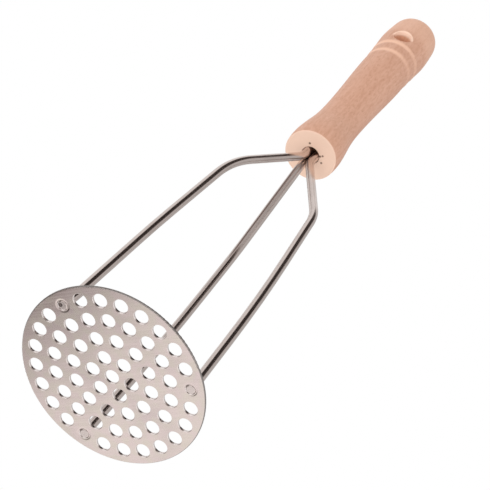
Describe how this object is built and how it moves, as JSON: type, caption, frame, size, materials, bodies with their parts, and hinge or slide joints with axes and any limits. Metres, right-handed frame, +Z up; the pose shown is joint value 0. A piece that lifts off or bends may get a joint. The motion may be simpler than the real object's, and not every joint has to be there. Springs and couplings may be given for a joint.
{
  "type": "potato masher",
  "caption": "Hand potato masher: a round perforated steel plate on bent wire legs that meet in a turned wooden handle with a hanging hole.",
  "frame": {"origin": "centre of the plate's underside, on which the masher stands", "axes": "+Z up the axis of the handle; +X and +Y lie in the plate, with +X through the first hole of each ring"},
  "size_m": [0.08, 0.08, 0.337],
  "materials": {
    "handle_wood": "pale pinkish beech, sanded and lightly oiled, end grain lighter",
    "wire_steel": "bright drawn stainless wire, softly polished",
    "plate_steel": "satin stainless sheet",
    "weld_steel": "weld metal, pickled and dull",
    "adhesive": "hard amber glue"
  },
  "bodies": {
    "root": {"handle": "handle_wood", "wire_leg_1": "wire_steel", "wire_leg_2": "wire_steel", "wire_leg_3": "wire_steel", "mashing_plate": "plate_steel", "foot_weld_1": "weld_steel", "foot_weld_2": "weld_steel", "foot_weld_3": "weld_steel", "bore_adhesive": "adhesive"}
  },
  "joints": []
}
